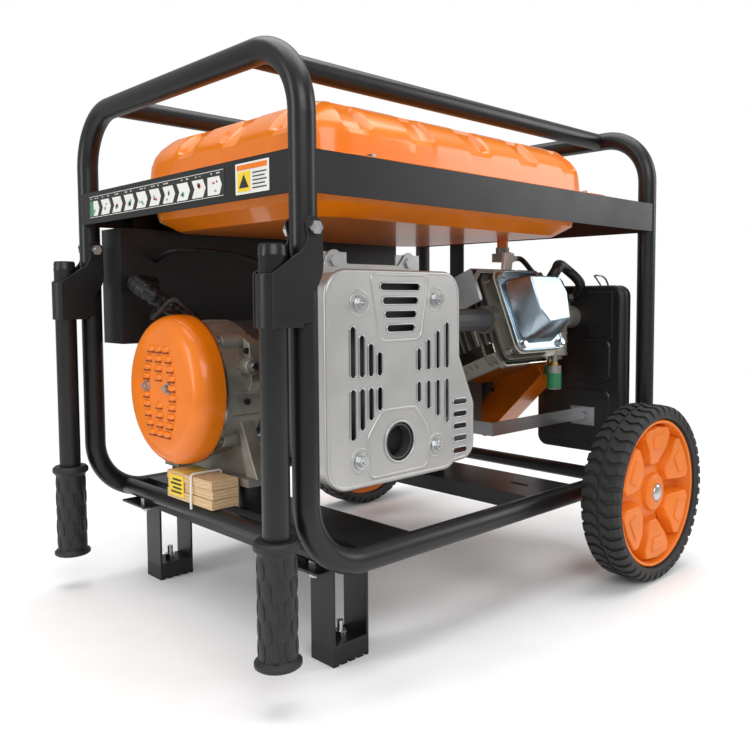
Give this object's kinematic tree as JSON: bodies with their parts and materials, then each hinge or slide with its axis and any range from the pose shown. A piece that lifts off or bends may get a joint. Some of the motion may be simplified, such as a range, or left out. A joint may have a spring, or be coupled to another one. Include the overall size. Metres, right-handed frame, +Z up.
{
  "type": "open-frame portable generator",
  "caption": "Tube-framed portable generator with wheels, rubber feet, fold-up handles, top fuel tank, tilted single-cylinder engine, alternator and socket panel.",
  "frame": {"origin": "on the ground, at the middle of the overall outline", "axes": "+X from the alternator end to the wheel end, +Z up, exhaust side towards -Y, control panel towards +Y"},
  "size_m": [0.761, 0.688, 0.6815],
  "materials": {
    "frame_black": "satin powder coat",
    "tank_orange": "gloss paint",
    "rim_orange": "semi-gloss paint",
    "housing_orange": "gloss paint",
    "black_plastic": "matte, fine grain",
    "black_rubber": "matte",
    "grip_rubber": "matte, moulded pattern",
    "tyre_rubber": "matte",
    "cast_aluminium": "as cast",
    "engine_paint": "gloss grey paint",
    "zinc_steel": "zinc plated",
    "polished_cover": "bright pressed steel",
    "shield_steel": "satin aluminised sheet",
    "raw_steel": "machined",
    "dark_iron": "cast",
    "ceramic_white": "glazed",
    "switch_red": "gloss",
    "pine_block": "sawn softwood"
  },
  "bodies": {
    "root": {"frame_left_hoop": "frame_black", "frame_right_hoop": "frame_black", "bottom_tubes": "frame_black", "top_rails": "frame_black", "tank_rails": "frame_black", "alternator_crossmember": "frame_black", "engine_crossmember": "frame_black", "foot_brackets": "frame_black", "foot_pads": "black_rubber", "axle_bolts": "zinc_steel", "frame_bolts": "zinc_steel", "tank_upper": "tank_orange", "tank_lower": "tank_orange", "fuel_tap": "cast_aluminium", "hoses": "black_rubber", "rubber_mounts": "black_rubber", "crankcase": "engine_paint", "crankcase_cover": "engine_paint", "cylinder_head": "cast_aluminium", "valve_cover": "polished_cover", "cylinder_shroud": "shield_steel", "fan_housing": "housing_orange", "recoil_cover": "black_plastic", "piston": "cast_aluminium", "spark_plug": "ceramic_white", "muffler": "shield_steel", "heat_shield": "shield_steel", "support_brackets": "zinc_steel", "carburettor": "cast_aluminium", "air_cleaner_box": "black_plastic", "air_cleaner_cover": "black_plastic", "louvre_cover": "tank_orange", "alternator_housing": "cast_aluminium", "stator": "dark_iron", "panel_box": "black_plastic", "panel_face": "black_plastic", "panel_fittings": "black_plastic", "shipping_block": "pine_block"},
    "handle_near": {"handle_near": "frame_black", "grip_near": "grip_rubber"},
    "handle_far": {"handle_far": "frame_black", "grip_far": "grip_rubber"},
    "wheel_near": {"tyre_near": "tyre_rubber", "rim_near": "rim_orange"},
    "wheel_far": {"tyre_far": "tyre_rubber", "rim_far": "rim_orange"},
    "fuel_cap": {"fuel_cap": "black_plastic"},
    "fuel_tap_lever": {"fuel_tap_lever": "black_plastic"},
    "choke_lever": {"choke_lever": "black_plastic"},
    "recoil_grip": {"recoil_grip": "black_plastic"},
    "crank_train": {"crankshaft": "raw_steel", "rotor": "dark_iron", "flywheel": "dark_iron"},
    "connecting_rod": {"connecting_rod": "raw_steel"},
    "camshaft": {"camshaft": "raw_steel"},
    "socket_lid_a": {"socket_lid_a": "black_plastic"},
    "socket_lid_b": {"socket_lid_b": "black_plastic"},
    "breaker_switch": {"breaker_switch": "black_plastic"},
    "engine_switch": {"engine_switch": "switch_red"},
    "dipstick": {"dipstick": "black_plastic"}
  },
  "joints": [
    {"name": "handle_near_lift", "type": "hinge", "parent": "root", "child": "handle_near", "pos_m": [-0.3195, -0.249, 0.4795], "axis": [0, 1, 0], "range_deg": [0, 90]},
    {"name": "handle_far_lift", "type": "hinge", "parent": "root", "child": "handle_far", "pos_m": [-0.3195, 0.249, 0.4795], "axis": [0, 1, 0], "range_deg": [0, 90]},
    {"name": "wheel_near_roll", "type": "hinge", "parent": "root", "child": "wheel_near", "pos_m": [0.2505, -0.3135, 0.1275], "axis": [0, 1, 0], "continuous": true},
    {"name": "wheel_far_roll", "type": "hinge", "parent": "root", "child": "wheel_far", "pos_m": [0.2505, 0.3135, 0.1275], "axis": [0, 1, 0], "continuous": true},
    {"name": "fuel_cap_lift", "type": "slide", "parent": "root", "child": "fuel_cap", "axis": [0, 0, 1], "range_m": [0, 0.06]},
    {"name": "fuel_tap_turn", "type": "hinge", "parent": "root", "child": "fuel_tap_lever", "pos_m": [0.2365, -0.06, 0.4757], "axis": [0, 1, 0], "range_deg": [0, 90]},
    {"name": "choke_swing", "type": "hinge", "parent": "root", "child": "choke_lever", "pos_m": [0.2685, -0.1549, 0.4035], "axis": [0, 0, 1], "range_deg": [0, 50]},
    {"name": "recoil_pull", "type": "slide", "parent": "root", "child": "recoil_grip", "axis": [0, 0.866, 0.5], "range_m": [0, 0.1], "stiffness_N_per_m": 30},
    {"name": "crank_spin", "type": "hinge", "parent": "root", "child": "crank_train", "pos_m": [0.0235, 0.075, 0.2905], "axis": [1, 0, 0], "continuous": true},
    {"name": "rod_swing", "type": "hinge", "parent": "crank_train", "child": "connecting_rod", "pos_m": [0.1565, 0.04533, 0.30249], "axis": [1, 0, 0], "continuous": true},
    {"name": "cam_spin", "type": "hinge", "parent": "root", "child": "camshaft", "pos_m": [0.1235, 0.1354, 0.2905], "axis": [1, 0, 0], "continuous": true},
    {"name": "socket_lid_a_lift", "type": "hinge", "parent": "root", "child": "socket_lid_a", "pos_m": [0.0025, 0.27, 0.4455], "axis": [1, 0, 0], "range_deg": [0, 110], "stiffness_Nm_per_rad": 0.02},
    {"name": "socket_lid_b_lift", "type": "hinge", "parent": "root", "child": "socket_lid_b", "pos_m": [0.0775, 0.27, 0.4455], "axis": [1, 0, 0], "range_deg": [0, 110], "stiffness_Nm_per_rad": 0.02},
    {"name": "breaker_rock", "type": "hinge", "parent": "root", "child": "breaker_switch", "pos_m": [-0.0675, 0.255, 0.4165], "axis": [1, 0, 0], "range_deg": [-12, 12]},
    {"name": "engine_switch_turn", "type": "hinge", "parent": "root", "child": "engine_switch", "pos_m": [-0.2375, 0.259, 0.4165], "axis": [0, 1, 0], "range_deg": [0, 60]},
    {"name": "dipstick_pull", "type": "slide", "parent": "root", "child": "dipstick", "axis": [0, 1, 0], "range_m": [0, 0.03]}
  ],
  "couplings": [
    {"joint": "rod_swing", "follows": "crank_spin", "ratio": -1},
    {"joint": "cam_spin", "follows": "crank_spin", "ratio": -0.5}
  ]
}
